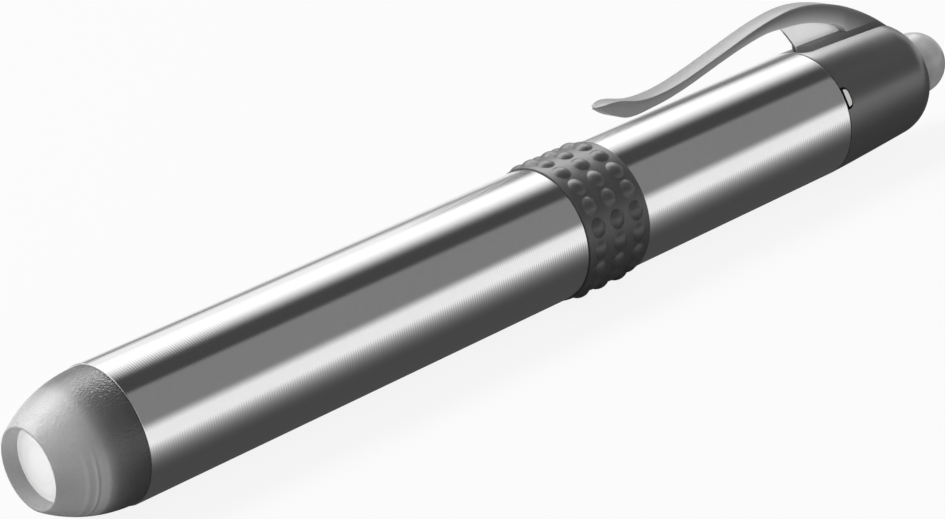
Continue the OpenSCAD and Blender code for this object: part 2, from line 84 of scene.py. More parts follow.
MM = 0.001
TURN = 2 * math.pi
CAD_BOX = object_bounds()
TUBE_LOW, TUBE_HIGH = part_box("body_tube")
NOSE_LOW, NOSE_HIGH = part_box("nose_cap")
LENS_LOW, LENS_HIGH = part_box("lens")
BUTTON_LOW, BUTTON_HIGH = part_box("tail_button")


# Sizes and colours

# What the short words in the settings' keys stand for
WORDS = {"r": "radius", "w": "width", "h": "height", "l": "length", "t": "thickness",
         "x": "place"}


def label_all(group):
    """Names each setting after its key, such as Tube radius for tube_r."""
    for key, setting in group.__annotations__.items():
        words = (WORDS.get(word, word) for word in key.split("_"))
        setting.keywords["name"] = " ".join(words).capitalize()


def length(text, value, low=0.0):
    """A length, given in millimetres."""
    return FloatProperty(description=text, default=value * MM, min=low, max=0.5,
                         precision=5, unit="LENGTH", subtype="DISTANCE")


def place(text, value):
    """A place along the pen, given in millimetres."""
    return length(text, value, low=-0.5)


def turn(text, degrees):
    """An angle."""
    return FloatProperty(description=text, default=math.radians(degrees), min=-math.pi,
                         max=math.pi, unit="ROTATION", subtype="ANGLE")


def colour(text, *rgb):
    """A colour from its red, green and blue."""
    return FloatVectorProperty(description=text, size=3, subtype="COLOR", min=0.0,
                               max=1.0, default=rgb)


def tint(text, grey, warm=0.0):
    """A colour close to grey; warm adds red and takes blue."""
    return colour(text, grey + warm, grey, grey - warm)


def number(text, value, high, low=0.0, **unit):
    """A plain number or one with a unit."""
    return FloatProperty(description=text, default=value, min=low, max=high, **unit)


class PenSizes(bpy.types.PropertyGroup):
    """Sizes of the pieces."""
    tube_r: length("Outside of the turned tube", TUBE_HIGH.z / MM)
    tube_front: place("Front end of the tube", TUBE_LOW.x / MM)
    tube_back: place("Back end of the tube", TUBE_HIGH.x / MM)
    tube_edge: length("Chamfer on both ends of the tube", 0.06)
    tube_proud: length("How far the tube stands out over the nose", 0.13)
    bore_r: length("Inside radius of the tube", 6.0)
    groove_r: length("Radius of the seat that the grip sits in", 6.55)
    grip_x: place("Front edge of the grip's seat", 55.45)
    grip_l: length("Length of the grip's seat", 8.75)
    grip_r: length("Outside of the sleeve between its nubs", 7.15)
    grip_edge: length("Rounding of the sleeve's two rims", 0.16)
    grip_gap: length("Gap between each end of the sleeve and its seat", 0.09)
    nub_w: length("Width of one nub at its foot", 1.88)
    nub_h: length("How far a nub stands out of the sleeve", 0.35)
    nub_pitch: length("Step between the three rings of nubs", 2.68)
    nub_count: IntProperty(description="Nubs in one ring", default=19, min=3, max=60)
    nub_turn: turn("Turn of the first nub from the top", 61)
    plug_r: length("Outside of the nose's plug and the cap's spigot", 5.95)
    rim_r: length("Outside of the nose's front rim", 4.17)
    rim_w: length("Flat of the nose's front rim", 0.22)
    window_r: length("Window just in front of the lens", 3.72)
    fit: length("Room round a piece that sits in another", 0.05)
    lens_r: length("Edge of the lens", LENS_HIGH.z / MM)
    lens_seat: place("Shoulder that the lens lies against", -7.25)
    step_x: place("Where the nose's hollow widens behind the lens", -5.4)
    hollow_r: length("Inside of the nose round the reflector", 4.9)
    room_r: length("Room inside the plug and the cap", 5.4)
    board_x: place("Front of the lamp's board", 4.0)
    seal_x: place("Front of the seal's groove", 1.4)
    seal_w: length("Width of the seal's groove", 0.75)
    seal_depth: length("Depth of the seal's groove", 0.5)
    cap_x: place("Front face of the tail cap", 95.1)
    cap_end: place("Where the cap's round end would meet the axis", 110.8)
    cap_taper: length("How much thinner the cap is at its end", 0.76)
    cap_round_l: length("Length of the cap's round end", 3.5)
    cap_round_r: length("Depth of the cap's round end", 3.15)
    chamber_x: place("Front of the button's chamber", 105.1)
    chamber_r: length("Room for the button's flange", 4.7)
    cap_wall: length("Wall between the chamber and the back", 2.2)
    hole_r: length("Hole that the button comes through", 3.6)
    notch_w: length("Width of the notch in the cap's front edge", 2.5)
    notch_l: length("Depth of the notch along the cap", 1.0)
    notch_turn: turn("Turn of the notch from the top", 68.4)
    clip_l: length("Length of the clip from tip to root", 44.3)
    clip_rise: length("Height of the clip's hump over the tube", 5.25)
    clip_w: length("Width of the clip's blade", 2.4)
    clip_tip_l: length("Length of the rounding at the clip's tip", 2.3)
    clip_edge: length("Rounding along the blade", 0.3)
    web_t: length("Plate between the clip and the cap", 0.4)
    rail_l: length("Length of the rail up to its slope", 11.6)
    rail_slope: length("Length over which the rail runs out", 1.7)
    rail_h: length("Height of the rail over the cap", 0.65)
    rail_round_l: length("Length of the rounding at the rail's front", 1.6)
    button_r: length("Outside of the button", 3.5)
    flange_r: length("Flange that keeps the button in", BUTTON_HIGH.z / MM)
    flange_t: length("Thickness of that flange", 1.1)
    button_bore: length("Inside radius of the button", 2.3)
    line_pitch: length("Step between the tube's turning lines", 0.28)


class PenColours(bpy.types.PropertyGroup):
    """Colours of the finishes."""
    metal: tint("Bright turned metal", 0.84)
    nose: tint("Frosted nose", 0.42)
    grip: tint("Sleeve", 0.055)
    smoke: tint("Smoke plastic of the cap", 0.075)
    # Painted light: the rail is painted much paler than the cap's smoke plastic, and palest at
    # its front, for the lit band along the cap there
    rail: tint("Paler front of the rail", 0.3)
    rail_back: tint("Darker back of the rail", 0.14)
    clip: tint("Frosted smoke plastic of the clip", 0.3)
    clip_root: tint("Thick plastic where the clip grows out of the cap", 0.11)
    web: tint("Thin pale plate under the clip", 0.85)
    # Painted shade: the web's faces that look forward get this dark grey
    web_edge: tint("Front edge of that plate", 0.12)
    button: tint("Smoky button", 0.5)
    lens: tint("Clear moulded lens", 0.97)
    mirror: tint("Metallised reflector", 0.92)
    nickel: tint("Nickel plating", 0.7, 0.01)
    brass: colour("Contacts", 0.72, 0.54, 0.27)
    jacket: tint("Plain sleeve of the cells", 0.1)
    card: tint("Card sleeve inside the tube", 0.6, 0.02)


# Modelling

# Points closer than this are one, and a line thinner than that counts as this thick
SAME_SPOT, THIN = 0.001 * MM, 0.05 * MM


def mode(name):
    """Goes into edit or object mode."""
    bpy.ops.object.mode_set(mode=name)


def pick(*pieces):
    """Leaves edit mode and selects these pieces alone; the last one becomes active."""
    if bpy.context.object and bpy.context.object.mode != "OBJECT":
        mode("OBJECT")
    bpy.ops.object.select_all(action="DESELECT")
    for piece in pieces:
        piece.select_set(True)
        bpy.context.view_layer.objects.active = piece


def draw_out(way):
    """Extrudes what is selected along a vector."""
    bpy.ops.mesh.extrude_region_move(TRANSFORM_OT_translate={"value": way})


def trace(name, points):
    """Draws a row of points as edges, from one corner of a plane, and stays in edit mode."""
    pick()
    bpy.ops.mesh.primitive_plane_add(size=MM, location=(0, 0, 0))
    piece = bpy.context.object
    piece.name = piece.data.name = name
    mode("EDIT")
    bpy.ops.mesh.select_mode(type="VERT")
    bpy.ops.mesh.merge(type="CENTER")
    bpy.ops.transform.translate(value=points[0])
    for here, there in zip(points, points[1:]):
        draw_out(there - here)
    bpy.ops.mesh.select_all(action="SELECT")
    return piece


def spaced(start, end, count):
    """Numbers in even steps from start to end, both among them."""
    return [start + (end - start) * i / count for i in range(count + 1)]


def soften(corners, steps=4):
    """Corners (x, radius) as points; one with a rounding as well becomes a curve."""
    points = []
    for i, (x, r, *ease) in enumerate(corners):
        here = Vector((x, r))
        if not ease:
            points.append(here)
            continue
        before, after = (
            (Vector(corners[k % len(corners)][:2]) - here).normalized() * ease[0]
            for k in (i - 1, i + 1))
        for u in spaced(0, 1, steps):
            points.append(here + before * (1 - u) ** 2 + after * u * u)
    return points


def weld():
    """Merges what lies on the same spot and turns the faces outwards."""
    bpy.ops.mesh.select_all(action="SELECT")
    bpy.ops.mesh.remove_doubles(threshold=SAME_SPOT)
    bpy.ops.mesh.normals_make_consistent(inside=False)


def smooth(piece, degrees=32):
    """Smooth shading up to an angle."""
    pick(piece)
    bpy.ops.object.shade_smooth_by_angle(angle=math.radians(degrees))


def lathe(name, corners, steps=160, closed=True, upright=False):
    """Turns an outline round the pen's axis, or round the upright one."""
    outline = soften(corners)
    if closed:
        outline.append(outline[0])
    piece = trace(name, [Vector((x, 0, r)) for x, r in outline])
    bpy.ops.mesh.spin(steps=steps, angle=TURN, center=(0, 0, 0),
                      axis=(0, 0, 1) if upright else (1, 0, 0))
    weld()
    smooth(piece)
    return piece


def block(name, outline, lift):
    """A solid with a closed outline, drawn out by a vector."""
    piece = trace(name, outline + outline[:1])
    bpy.ops.mesh.remove_doubles(threshold=SAME_SPOT)
    bpy.ops.mesh.edge_face_add()
    draw_out(lift)
    weld()
    return piece


def slab(name, points, thickness):
    """An upright slab with the given outline, as thick as asked, on the middle plane."""
    return block(name, [Vector((x, -thickness / 2, z)) for x, z in points],
                 (0, thickness, 0))


def bevel(piece, width, segments=3):
    """Rounds the piece's sharp edges."""
    apply_modifier(piece, "BEVEL", width=width, segments=segments,
                   limit_method="ANGLE", angle_limit=math.radians(50))


def apply_modifier(piece, kind, **settings):
    """Adds a modifier with its settings and applies it."""
    pick(piece)
    modifier = piece.modifiers.new(kind.lower(), kind)
    for key, value in settings.items():
        setattr(modifier, key, value)
    bpy.ops.object.modifier_apply(modifier=modifier.name)


def section(piece, start, end, count):
    """Cuts a piece into equal stretches along the pen, for smooth bends and tones."""
    pick(piece)
    mode("EDIT")
    for x in spaced(start, end, count)[1:-1]:
        bpy.ops.mesh.select_all(action="SELECT")
        bpy.ops.mesh.bisect(plane_co=(x, 0, 0), plane_no=(1, 0, 0))
    mode("OBJECT")


def round_in_plan(piece, front, reach, narrowest=0.12):
    """Narrows the slab's front end to a half ellipse, seen from above."""
    pick(piece)
    near = 1e-6
    stations = []
    for x in sorted(v.co.x for v in piece.data.vertices):
        if x < front + reach and (not stations or x - stations[-1] > near):
            stations.append(x)
    for x in stations:
        mode("EDIT")
        bpy.ops.mesh.select_all(action="DESELECT")
        mode("OBJECT")
        for v in piece.data.vertices:
            v.select = x - near / 2 < v.co.x < x + near
        t = max(0.0, min(1.0, (x - front) / reach))
        wide = max(narrowest, math.sqrt(1 - (1 - t) ** 2))
        mode("EDIT")
        bpy.ops.transform.resize(value=(1, wide, 1), center_override=(x, 0, 0))
        mode("OBJECT")


def height_at(line, x):
    """Height of a line of (x, z) points at a place along the pen."""
    for (x0, z0), (x1, z1) in zip(line, line[1:]):
        if x0 <= x <= x1:
            return z0 + (z1 - z0) * (x - x0) / max(x1 - x0, 1e-9)
    return line[0][1] if x < line[0][0] else line[-1][1]


def mark_depth(piece, top, under):
    """Stores how far up between two lines each point lies, from 0 to 1."""
    depth = piece.data.attributes.new("depth", "FLOAT", "POINT")
    for v in piece.data.vertices:
        low, high = height_at(under, v.co.x), height_at(top, v.co.x)
        depth.data[v.index].value = max(0.0, min(1.0, (v.co.z - low)
                                                 / max(high - low, THIN)))


def curve_through(points, steps=4):
    """A smooth line through the points."""
    def at(i):
        return points[max(0, min(len(points) - 1, i))]

    line = []
    for i in range(len(points) - 1):
        a, b, c, d = (Vector(at(i + k)) for k in (-1, 0, 1, 2))
        for t in spaced(0, 1, steps)[:-1]:
            line.append((b * 2 + (c - a) * t + (a * 2 - b * 5 + c * 4 - d) * t * t
                         + (b * 3 - a - c * 3 + d) * t ** 3) / 2)
    return line + [Vector(points[-1])]


def hide_from(thing, *rays):
    """Keeps rays of these kinds from meeting a thing."""
    for ray in rays:
        setattr(thing, "visible_" + ray, False)


def settle(piece, body, slot, finish, *nodes):
    """Gives a new piece its finish and its body, and hides the nodes that it stands for."""
    piece.data.materials.clear()
    piece.data.materials.append(finish)
    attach(piece, body)
    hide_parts(*nodes)


# Finishes

def feed(tree, socket, value):
    """Gives a socket a value, or wires another socket to it."""
    if isinstance(value, bpy.types.NodeSocket):
        tree.links.new(value, socket)
    else:
        socket.default_value = value


def node(tree, kind, inputs=None, **settings):
    """A shader node; inputs holds what its sockets get."""
    made = tree.nodes.new(kind)
    for key, value in settings.items():
        setattr(made, key, value)
    for key, value in (inputs or {}).items():
        feed(tree, made.inputs[key], value)
    return made


def math_node(tree, operation, *values, clamp=False):
    """A Math node; each value is a socket or a number."""
    return node(tree, "ShaderNodeMath", dict(enumerate(values)), operation=operation,
                use_clamp=clamp).outputs[0]


def fade(tree, value, low, high, easing="SMOOTHSTEP", to=(0.0, 1.0)):
    """Goes from one number to another while a value goes from low to high."""
    return node(tree, "ShaderNodeMapRange",
                {"Value": value, "From Min": low, "From Max": high, "To Min": to[0],
                 "To Max": to[1]}, interpolation_type=easing).outputs["Result"]


def spot(tree):
    """The place on the piece."""
    return node(tree, "ShaderNodeTexCoord").outputs["Object"]


def axes(tree):
    """The place on the piece as X, Y and Z."""
    return node(tree, "ShaderNodeSeparateXYZ", {"Vector": spot(tree)}).outputs


def along(tree, low, high, easing="SMOOTHSTEP", axis="X"):
    """A mask that goes from 0 to 1 between two places along an axis, here the pen's."""
    return fade(tree, axes(tree)[axis], low, high, easing)


def off_axis(tree, reach):
    """Distance from the pen's axis, as a share of a radius."""
    flat = node(tree, "ShaderNodeVectorMath", operation="MULTIPLY",
                inputs={0: spot(tree), 1: (0, 1 / reach, 1 / reach)})
    return node(tree, "ShaderNodeVectorMath", {0: flat.outputs[0]},
                operation="LENGTH").outputs["Value"]


def grain_group():
    """Fine grain: a tone that wanders, a gloss that wanders, and a height for a bump."""
    if "surface_grain" in bpy.data.node_groups:
        return bpy.data.node_groups["surface_grain"]
    group = bpy.data.node_groups.new("surface_grain", "ShaderNodeTree")
    for way, kind, labels in (
            ("INPUT", "Vector", "Vector"), ("INPUT", "Color", "Tone"),
            ("INPUT", "Float", "Spread,Gloss,Gloss Spread,Scale,Patch Scale"),
            ("OUTPUT", "Color", "Color"), ("OUTPUT", "Float", "Roughness,Height")):
        for label in labels.split(","):
            group.interface.new_socket(name=label, in_out=way,
                                       socket_type="NodeSocket" + kind)
    given = node(group, "NodeGroupInput").outputs
    fine, patch = (
        node(group, "ShaderNodeTexNoise", {"Vector": given["Vector"],
                                           "Scale": given[scale],
                                           "Detail": detail}).outputs["Fac"]
        for scale, detail in (("Scale", 1.5), ("Patch Scale", 4.0)))
    centred = math_node(group, "SUBTRACT", math_node(group, "ADD", fine, patch), 1.0)
    lift = math_node(group, "MULTIPLY", centred, given["Spread"])
    shade = node(group, "ShaderNodeVectorMath", operation="SCALE",
                 inputs={0: given["Tone"], "Scale": math_node(group, "ADD", lift, 1.0)})
    gloss = math_node(group, "MULTIPLY", centred, given["Gloss Spread"])
    node(group, "NodeGroupOutput",
         {"Color": shade.outputs[0], "Height": fine,
          "Roughness": math_node(group, "ADD", gloss, given["Gloss"], clamp=True)})
    return group


def relief(tree, height, depth):
    """The surface's direction with a height worked into it."""
    return node(tree, "ShaderNodeBump", {"Height": height, "Strength": 1.0,
                                         "Distance": depth}).outputs["Normal"]


def finish(name, tone, spread=0.1, gloss=0.4, gloss_spread=0.0, scale=900.0,
           patches=120.0, bump=0.0, **plain):
    """A material on grain_group; plain gives values of the shader's own sockets."""
    material = bpy.data.materials.new(name + "_finish")
    material.use_nodes = True
    tree = material.node_tree
    shader = tree.nodes["Principled BSDF"].inputs
    grain = node(tree, "ShaderNodeGroup", node_tree=grain_group(), inputs={
        "Vector": spot(tree), "Tone": (*tone, 1), "Spread": spread, "Gloss": gloss,
        "Gloss Spread": gloss_spread, "Scale": scale, "Patch Scale": patches}).outputs
    feed(tree, shader["Base Color"], grain["Color"])
    feed(tree, shader["Roughness"], grain["Roughness"])
    if bump:
        feed(tree, shader["Normal"], relief(tree, grain["Height"], bump))
    for label, value in plain.items():
        shader[label.replace("_", " ")].default_value = value
    return material


def grain_of(material):
    """The node through which a material's tone and gloss pass."""
    return next(n for n in material.node_tree.nodes if n.type == "GROUP")


def into_grain(material, tone):
    """Feeds a changing tone through the material's own grain."""
    feed(material.node_tree, grain_of(material).inputs["Tone"], tone)


def tone_ramp(tree, value, stops):
    """A row of greys by a value from 0 to 1."""
    ramp = node(tree, "ShaderNodeValToRGB", {"Fac": value})
    ramp.color_ramp.interpolation = "B_SPLINE"
    spots = ramp.color_ramp.elements
    while len(spots) < len(stops):
        spots.new(0.5)
    for stop, (where, grey) in zip(spots, stops):
        stop.position = where
        stop.color = (grey, grey, grey, 1)
    return ramp.outputs["Color"]


def mix_tone(tree, mask, first, second):
    """Mixes two colours by a mask; each is a socket or a colour."""
    first, second = (tone if isinstance(tone, bpy.types.NodeSocket) else (*tone, 1)
                     for tone in (first, second))
    return node(tree, "ShaderNodeMix", {"Factor": mask, 6: first, 7: second},
                data_type="RGBA").outputs[2]


def metal_finish(s, c):
    """Bright metal with fine turning lines and fainter scratches round the tube."""
    material = finish("turned_metal", c.metal, spread=0.05, gloss=0.1,
                      scale=1500.0, patches=60.0, Metallic=1.0)
    tree = material.node_tree
    # A wave's scale of 1 has a band each pi / 10 metres
    lines = node(tree, "ShaderNodeTexWave", {"Vector": spot(tree),
                                             "Scale": math.pi / (10 * s.line_pitch)},
                 wave_type="BANDS", bands_direction="X", wave_profile="SIN")
    stretch = node(tree, "ShaderNodeMapping", {"Vector": spot(tree),
                                               "Scale": (1.0, 0.06, 0.06)})
    scratch = node(tree, "ShaderNodeTexNoise", {"Vector": stretch.outputs[0],
                                                "Scale": 3600.0, "Detail": 1.0})
    faint = math_node(tree, "MULTIPLY", scratch.outputs["Fac"], 0.4)
    height = math_node(tree, "ADD", lines.outputs["Fac"], faint)
    feed(tree, tree.nodes["Principled BSDF"].inputs["Normal"],
         relief(tree, height, 0.006 * MM))
    return material


# Greys of the frosted nose from its rim to the tube, as it lies over pale and dark pieces:
# painted light and shade of those pieces behind it, and on its upper half a painted highlight
# that makes it lighter
NOSE_PAINTED_LIGHT = ((0.0, 0.68), (0.3, 0.62), (0.46, 0.46), (0.54, 0.26), (0.64, 0.14),
              (0.8, 0.1), (1.0, 0.07))
# The same with painted rings of light and shade from the parts behind, which show in the nose's
# lower half
NOSE_PAINTED_RINGS = ((0.0, 0.48), (0.25, 0.5), (0.285, 0.66), (0.31, 0.44), (0.36, 0.5),
              (0.385, 0.8), (0.402, 0.2), (0.425, 0.66), (0.47, 0.5), (0.5, 0.64),
              (0.54, 0.3), (0.64, 0.13), (0.8, 0.09), (1.0, 0.065))
# Heights between which the first, with its painted highlight, gives way to the second
NOSE_UPPER, NOSE_LOWER = 3 * MM, -1 * MM
# Greys of the lens from its middle to its rim: two faint darker rings and a darker rim
LENS_TONES = ((0.0, 0.97), (0.42, 0.97), (0.46, 0.9), (0.5, 0.97), (0.72, 0.97),
              (0.76, 0.84), (0.8, 0.97), (0.92, 0.92), (1.0, 0.6))


def nose_finish(s, c):
    """Frosted plastic with painted light and shade of the parts inside: pale over the reflector,
    darker towards the plug, and lighter on top with a painted highlight.
    """
    material = finish("frosted_nose", c.nose, spread=0.14, gloss=0.34, scale=5000.0,
                      patches=420.0, bump=0.085 * MM, Specular_IOR_Level=0.45,
                      Transmission_Weight=0.15, IOR=1.6)
    tree = material.node_tree
    station = along(tree, NOSE_LOW.x, s.tube_front, "LINEAR")
    low = along(tree, NOSE_UPPER, NOSE_LOWER, axis="Z")
    # Painted light and shade: ramps along the pen, the upper one lighter with a painted
    # highlight
    into_grain(material, mix_tone(tree, low, tone_ramp(tree, station, NOSE_PAINTED_LIGHT),
                                  tone_ramp(tree, station, NOSE_PAINTED_RINGS)))
    return material


# Pieces

def pen_settings(context):
    """The sizes and colours that the panel shows."""
    return context.scene.pen_sizes, context.scene.pen_colours


class PEN_OT_nose_shell(bpy.types.Operator):
    """Frosted nose, turned in one with the plug that holds it in the tube"""
    bl_idname = "pen.nose_shell"
    bl_label = "Nose shell"

    def execute(self, context):
        s, c = pen_settings(context)
        back_r = s.tube_r - s.tube_proud
        run, drop = s.tube_front - NOSE_LOW.x, back_r - s.rim_r
        # The outline is an arc from the tube to the rim
        arc = (run * run + drop * drop) / (2 * drop)
        sweep = math.asin(run / arc)
        outer = [(s.tube_front - arc * math.sin(a), back_r - arc * (1 - math.cos(a)))
                 for a in spaced(0, sweep, 36)[:-1]]
        floor = s.plug_r - s.seal_depth
        seal_end = s.seal_x + s.seal_w
        inner = [(NOSE_LOW.x, s.rim_r, 0.09 * MM),
                 (NOSE_LOW.x, s.rim_r - s.rim_w, 0.09 * MM),
                 (s.lens_seat, s.window_r), (s.lens_seat, s.lens_r + s.fit),
                 (s.step_x, s.lens_r + s.fit), (s.step_x, s.hollow_r, 0.15 * MM),
                 (s.board_x, s.hollow_r), (s.board_x, s.room_r),
                 (NOSE_HIGH.x, s.room_r, 0.1 * MM), (NOSE_HIGH.x, s.plug_r, 0.15 * MM),
                 (seal_end, s.plug_r, 0.05 * MM), (seal_end, floor),
                 (s.seal_x, floor), (s.seal_x, s.plug_r, 0.05 * MM),
                 (s.tube_front, s.plug_r)]
        piece = lathe("nose_shell", outer + inner)
        settle(piece, "barrel", "frosted_clear", nose_finish(s, c), "nose_cap")
        return {"FINISHED"}


class PEN_OT_front_lens(bpy.types.Operator):
    """Clear lens with a low dome"""
    bl_idname = "pen.front_lens"
    bl_label = "Front lens"

    def execute(self, context):
        s, c = pen_settings(context)
        dome_r, dome_h = s.window_r - 0.1 * MM, s.lens_seat - LENS_LOW.x
        ball = (dome_r ** 2 + dome_h ** 2) / (2 * dome_h)
        dome = [(LENS_LOW.x + ball - math.sqrt(ball ** 2 - r ** 2), r)
                for r in spaced(dome_r, 0, 20)]
        piece = lathe("front_lens",
                      [(LENS_HIGH.x, 0), (LENS_HIGH.x, s.lens_r, 0.1 * MM),
                       (s.lens_seat, s.lens_r, 0.1 * MM)] + dome, closed=False)
        clear = finish("clear_lens", c.lens, spread=0.01, gloss=0.12, patches=300.0,
                       Transmission_Weight=0.3, IOR=1.49)
        out = off_axis(clear.node_tree, s.lens_r)
        into_grain(clear, tone_ramp(clear.node_tree, out, LENS_TONES))
        settle(piece, "barrel", "clear_lens", clear, "lens")
        return {"FINISHED"}


class PEN_OT_tube_shell(bpy.types.Operator):
    """Turned metal tube with the seat for the grip"""
    bl_idname = "pen.tube_shell"
    bl_label = "Tube shell"

    def execute(self, context):
        s, c = pen_settings(context)
        grip_end = s.grip_x + s.grip_l
        soft = 0.03 * MM
        piece = lathe("tube_shell", [
            (s.tube_front, s.bore_r),
            (s.tube_front, s.tube_r - s.tube_edge, soft),
            (s.tube_front + s.tube_edge, s.tube_r, soft),
            (s.grip_x, s.tube_r, soft), (s.grip_x, s.groove_r),
            (grip_end, s.groove_r), (grip_end, s.tube_r, soft),
            (s.tube_back - s.tube_edge, s.tube_r, soft),
            (s.tube_back, s.tube_r - s.tube_edge, soft), (s.tube_back, s.bore_r)],
            steps=240)
        settle(piece, "barrel", "turned_metal", metal_finish(s, c), "body_tube")
        return {"FINISHED"}


# Room between the sleeve and the floor of its seat
SLEEVE_ROOM = 0.025 * MM


class PEN_OT_grip_sleeve(bpy.types.Operator):
    """Rubber sleeve with three rings of nubs"""
    bl_idname = "pen.grip_sleeve"
    bl_label = "Grip sleeve"

    def nub(self, s):
        """One nub on top of the sleeve, with a small fillet at its foot."""
        ball = (s.nub_w ** 2 / 4 + s.nub_h ** 2) / (2 * s.nub_h)
        centre = s.grip_r + s.nub_h - ball
        half = s.nub_w / 2
        dome = [(r, centre + math.sqrt(ball ** 2 - r ** 2))
                for r in spaced(0, 0.9 * half, 7)]
        sunk = s.grip_r - 0.3 * MM
        foot = [(half, s.grip_r), (1.12 * half, s.grip_r - 0.07 * MM),
                (1.15 * half, sunk), (0, sunk)]
        return lathe("grip_nub", dome + foot, steps=20, closed=False, upright=True)

    def execute(self, context):
        s, c = pen_settings(context)
        low, high = s.grip_x + s.grip_gap, s.grip_x + s.grip_l - s.grip_gap
        seat = s.groove_r + SLEEVE_ROOM
        sleeve = lathe("grip_sleeve", [
            (low, seat), (low, s.grip_r, s.grip_edge),
            (high, s.grip_r, s.grip_edge), (high, seat)], steps=180)
        nub = self.nub(s)
        middle = s.grip_x + s.grip_l / 2
        copies = []
        for ring in (-1, 0, 1):
            for k in range(s.nub_count):
                pick(nub)
                bpy.ops.object.duplicate(linked=False)
                copy = bpy.context.object
                copy.rotation_euler = (s.nub_turn + TURN * k / s.nub_count, 0, 0)
                copy.location = (middle + ring * s.nub_pitch, 0, 0)
                copies.append(copy)
        pick(*copies)
        bpy.ops.object.transform_apply(location=True, rotation=True, scale=True)
        pick(*copies, sleeve)
        bpy.ops.object.join()
        bpy.data.objects.remove(nub)
        smooth(sleeve, 50)
        rubber = finish("grip_rubber", c.grip, spread=0.25, gloss=0.46, scale=1600.0,
                        patches=420.0, bump=0.006 * MM, Specular_IOR_Level=0.8)
        settle(sleeve, "barrel", "grip_rubber", rubber, "grip_ring")
        return {"FINISHED"}


# Front end of the cap's spigot, in the tube
SPIGOT_X = 87.1 * MM
# How late along the cap it gets thinner: 1 is a straight cone
CAP_BEND = 1.18
# The notch's floor, and the height of the block that cuts it
NOTCH_FLOOR, NOTCH_BLOCK = 5.6 * MM, 2 * MM
# Power of the notch's outline: 1 is round, and less is squarer
NOTCH_POWER = 2 / 3
# How far a cutter starts outside of what it cuts, and a piece behind what it meets
OVER = 0.05 * MM


def cap_line(s, x):
    """Outer radius of the cap's long taper."""
    return s.tube_r - s.cap_taper * ((x - s.cap_x) / (s.cap_end - s.cap_x)) ** CAP_BEND


class PEN_OT_cap_shell(bpy.types.Operator):
    """Smoke plastic tail cap with the notch for the metal strip"""
    bl_idname = "pen.cap_shell"
    bl_label = "Cap shell"

    def execute(self, context):
        s, c = pen_settings(context)
        outer = [(s.cap_x, s.tube_r, 0.06 * MM)]
        outer += [(x, cap_line(s, x))
                  for x in spaced(s.cap_x, s.cap_end - s.cap_round_l, 12)[1:-1]]
        for a in spaced(0, math.pi / 2, 20):
            x = s.cap_end - s.cap_round_l * (1 - math.sin(a))
            r = cap_line(s, x) - s.cap_round_r * (1 - math.cos(a))
            if r > s.hole_r + 0.1 * MM:
                outer.append((x, r))
        back = outer[-1][0] + 0.02 * MM
        wall = s.cap_end - s.cap_wall
        piece = lathe("cap_shell", [
            (SPIGOT_X, s.room_r), (SPIGOT_X, s.plug_r, 0.2 * MM),
            (s.cap_x, s.plug_r)] + outer + [
            (back, s.hole_r, 0.15 * MM), (wall, s.hole_r), (wall, s.chamber_r),
            (s.chamber_x, s.chamber_r), (s.chamber_x, s.room_r)])
        self.cut_notch(piece, s)
        smooth(piece, 30)
        smoke = finish("smoke_plastic", c.smoke, spread=0.05, gloss=0.3, scale=700.0,
                       patches=200.0, IOR=1.55, Specular_IOR_Level=0.85)
        settle(piece, "tail", "smoke_plastic", smoke, "tail_cap")
        return {"FINISHED"}

    def cut_notch(self, piece, s):
        """Cuts the round-backed notch with a block that is shaped like it."""
        front = s.cap_x - OVER
        outline = []
        for a in spaced(-math.pi / 2, math.pi / 2, 16):
            deep = (s.notch_l + OVER) * abs(math.cos(a)) ** NOTCH_POWER
            side = math.copysign(abs(math.sin(a)) ** NOTCH_POWER, math.sin(a))
            outline.append(Vector((front + deep, s.notch_w / 2 * side, NOTCH_FLOOR)))
        cutter = block("notch_block", outline, (0, 0, NOTCH_BLOCK))
        pick()
        cutter.rotation_euler = (s.notch_turn, 0, 0)
        apply_modifier(piece, "BOOLEAN", operation="DIFFERENCE", object=cutter,
                       solver="EXACT")
        bpy.data.objects.remove(cutter)


# The clip's upper and lower lines and its web, as shares of its length and rise
CLIP_TOP = ((0, 0.66), (0.03, 0.68), (0.06, 0.65), (0.09, 0.57), (0.12, 0.5),
            (0.16, 0.46), (0.21, 0.46), (0.27, 0.51), (0.34, 0.61), (0.42, 0.74),
            (0.5, 0.87), (0.57, 0.96), (0.64, 1), (0.7, 0.96), (0.76, 0.84),
            (0.82, 0.66), (0.88, 0.4), (0.94, 0.07), (1, -0.34))
CLIP_UNDER = ((0, 0.63), (0.02, 0.51), (0.04, 0.4), (0.06, 0.31), (0.08, 0.26),
              (0.11, 0.24), (0.15, 0.25), (0.21, 0.28), (0.28, 0.36), (0.35, 0.47),
              (0.42, 0.58), (0.49, 0.67), (0.56, 0.72), (0.62, 0.68), (0.67, 0.63),
              (0.71, 0.56), (0.75, 0.46), (0.79, 0.33), (0.82, 0.19), (0.86, -0.12),
              (1, -0.4))
WEB_FRONT = ((0.62, 0.75), (0.65, 0.42), (0.67, 0.16))
WEB_BACK = ((0.69, 0.75), (0.76, 0.6), (0.83, 0.4), (0.86, 0))
# How far the clip's root lies in front of the cap's end
CLIP_ROOT = 1.2 * MM
# Greys of the frosted blade from its under line to its top face, as painted light: a pale under
# side that stands for light from below, painted shade under the top face and a lighter top
CLIP_PAINTED_LIGHT = ((0.0, 0.95), (0.08, 0.58), (0.4, 0.33), (0.7, 0.13), (0.9, 0.11),
              (0.97, 0.26), (1.0, 0.3))
# The same painted light for its thin front part, paler at its under line, and where along the
# clip one gives way to the other
CLIP_FRONT_PAINTED_LIGHT = ((0.0, 0.42), (0.6, 0.3), (0.9, 0.24), (0.97, 0.22), (1.0, 0.26))
CLIP_FLAT, CLIP_HUMP = (0.38, 0), (0.58, 0)
